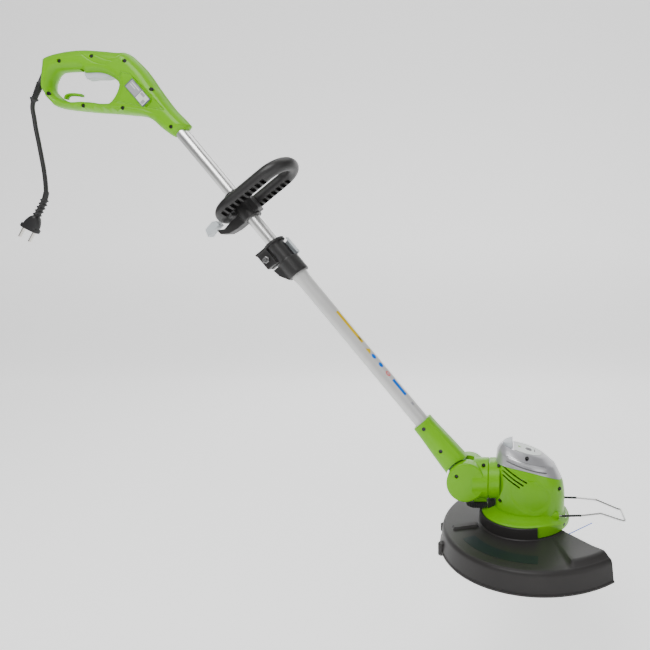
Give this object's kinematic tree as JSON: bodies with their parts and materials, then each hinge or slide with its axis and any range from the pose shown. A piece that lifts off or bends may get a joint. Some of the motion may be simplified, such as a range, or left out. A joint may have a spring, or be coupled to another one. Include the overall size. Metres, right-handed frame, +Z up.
{
  "type": "string trimmer",
  "caption": "Corded telescopic string trimmer with a closed rear handle, an adjustable front loop handle, a tilting and swivelling motor head, a half-round guard and a wire edge guide.",
  "frame": {"origin": "centre of the flat underside of the bump cap, on the spool's spin axis", "axes": "+Z up along the spool axis, +X forward over the wire guide, the shaft rises towards -X in the XZ plane, +Y to the right seen from the handle looking at the head's back"},
  "size_m": [1.0461, 0.3055, 0.852],
  "materials": {
    "green_plastic": "satin",
    "black_plastic": "fine grain",
    "charcoal_plastic": "satin",
    "pale_grey_plastic": "satin",
    "silver_plastic": "metallic satin",
    "tube_aluminium": "satin",
    "steel": "bright",
    "copper_winding": "lacquered",
    "black_rubber": "matt",
    "label_film": "smooth",
    "blue_nylon_line": "smooth",
    "pin_brass": "plain"
  },
  "bodies": {
    "grip": {"handle_shell_left": "green_plastic", "handle_shell_right": "green_plastic", "handle_screw_1": "steel", "handle_screw_2": "steel", "handle_screw_3": "steel", "handle_screw_4": "steel", "handle_screw_5": "steel", "handle_screw_6": "steel", "handle_screw_7": "steel", "handle_screw_8": "steel", "trigger_pivot_pin": "steel", "micro_switch": "black_plastic", "trigger_spring": "steel", "cord_retainer_hook": "green_plastic", "rating_label": "label_film", "cord_strain_relief": "black_rubber", "power_cord": "black_rubber", "plug_body": "black_rubber", "plug_pin_left": "pin_brass", "plug_pin_right": "pin_brass", "upper_tube": "tube_aluminium"},
    "trigger": {"switch_trigger": "pale_grey_plastic"},
    "aux_clamp": {"aux_clamp_base": "black_plastic"},
    "aux_handle": {"aux_handle_loop": "black_plastic"},
    "aux_lever": {"aux_cam_lever": "pale_grey_plastic"},
    "lower_shaft": {"telescope_collar": "black_plastic", "collar_bolt": "steel", "collar_nut": "steel", "lower_tube": "tube_aluminium", "shaft_socket_left": "green_plastic", "shaft_socket_right": "green_plastic", "socket_screw_1": "steel", "socket_screw_2": "steel", "pivot_tongue": "pale_grey_plastic"},
    "collar_lever": {"collar_flip_lever": "pale_grey_plastic"},
    "neck": {"neck_knuckle": "green_plastic", "pivot_bolt": "steel"},
    "foot_pedal": {"foot_pedal": "black_plastic"},
    "head": {"motor_housing_left": "green_plastic", "motor_housing_right": "green_plastic", "motor_top_cap": "silver_plastic", "top_label": "label_film", "guard": "charcoal_plastic", "line_cutter_blade": "steel", "motor_stator": "steel", "upper_bearing": "steel", "lower_bearing": "steel"},
    "release_button": {"swivel_release_button": "pale_grey_plastic"},
    "edge_guide": {"edge_guide_wire": "steel"},
    "spool": {"motor_shaft": "steel", "armature": "copper_winding", "commutator": "copper_winding", "cooling_fan": "black_plastic", "spool_housing": "black_plastic", "line_spool": "black_plastic", "wound_line": "blue_nylon_line", "bump_spring": "steel", "trimmer_line": "blue_nylon_line"},
    "bump": {"bump_cap": "black_plastic"}
  },
  "joints": [
    {"name": "trigger_pull", "type": "hinge", "parent": "grip", "child": "trigger", "pos_m": [-0.712, 0, 0.8195], "axis": [0, 1, 0], "range_deg": [0, 6], "stiffness_Nm_per_rad": 0.6, "springref_deg": -8.59, "deforming": ["trigger_spring"]},
    {"name": "aux_handle_slide", "type": "slide", "parent": "grip", "child": "aux_clamp", "axis": [-0.6388, 0, 0.7694], "range_m": [-0.02, 0.09]},
    {"name": "aux_handle_tilt", "type": "hinge", "parent": "aux_clamp", "child": "aux_handle", "pos_m": [-0.51713, 0, 0.565], "axis": [0, 1, 0], "range_deg": [-35, 25]},
    {"name": "aux_cam_lever_swing", "type": "hinge", "parent": "aux_clamp", "child": "aux_lever", "pos_m": [-0.53149, 0, 0.55178], "axis": [0, 1, 0], "range_deg": [0, 60]},
    {"name": "telescope_slide", "type": "slide", "parent": "grip", "child": "lower_shaft", "axis": [0.6388, 0, -0.7694], "range_m": [-0.03, 0.12]},
    {"name": "collar_lever_swing", "type": "hinge", "parent": "lower_shaft", "child": "collar_lever", "pos_m": [-0.44166, 0.0222, 0.49054], "axis": [-0.6388, 0, 0.7694], "range_deg": [0, 110]},
    {"name": "head_tilt", "type": "hinge", "parent": "lower_shaft", "child": "neck", "pos_m": [-0.101, 0, 0.117], "axis": [0, 1, 0], "range_deg": [-15, 25]},
    {"name": "head_swivel", "type": "hinge", "parent": "neck", "child": "head", "pos_m": [-0.0628, 0, 0.1145], "axis": [1, 0, 0], "range_deg": [-90, 0]},
    {"name": "foot_pedal_press", "type": "hinge", "parent": "neck", "child": "foot_pedal", "pos_m": [-0.0655, 0, 0.0765], "axis": [0, 1, 0], "range_deg": [-6, 0], "stiffness_Nm_per_rad": 1.5, "springref_deg": 11.46},
    {"name": "release_button_press", "type": "slide", "parent": "head", "child": "release_button", "axis": [0, 0, -1], "range_m": [0, 0.003], "stiffness_N_per_m": 300, "springref_m": -0.003},
    {"name": "edge_guide_slide", "type": "slide", "parent": "head", "child": "edge_guide", "axis": [-1, 0, 0], "range_m": [0, 0.0165]},
    {"name": "spool_spin", "type": "hinge", "parent": "head", "child": "spool", "pos_m": [0, 0, 0], "axis": [0, 0, 1], "continuous": true},
    {"name": "bump_press", "type": "slide", "parent": "spool", "child": "bump", "axis": [0, 0, 1], "range_m": [0, 0.005], "stiffness_N_per_m": 900, "springref_m": -0.004, "deforming": ["bump_spring"]}
  ]
}
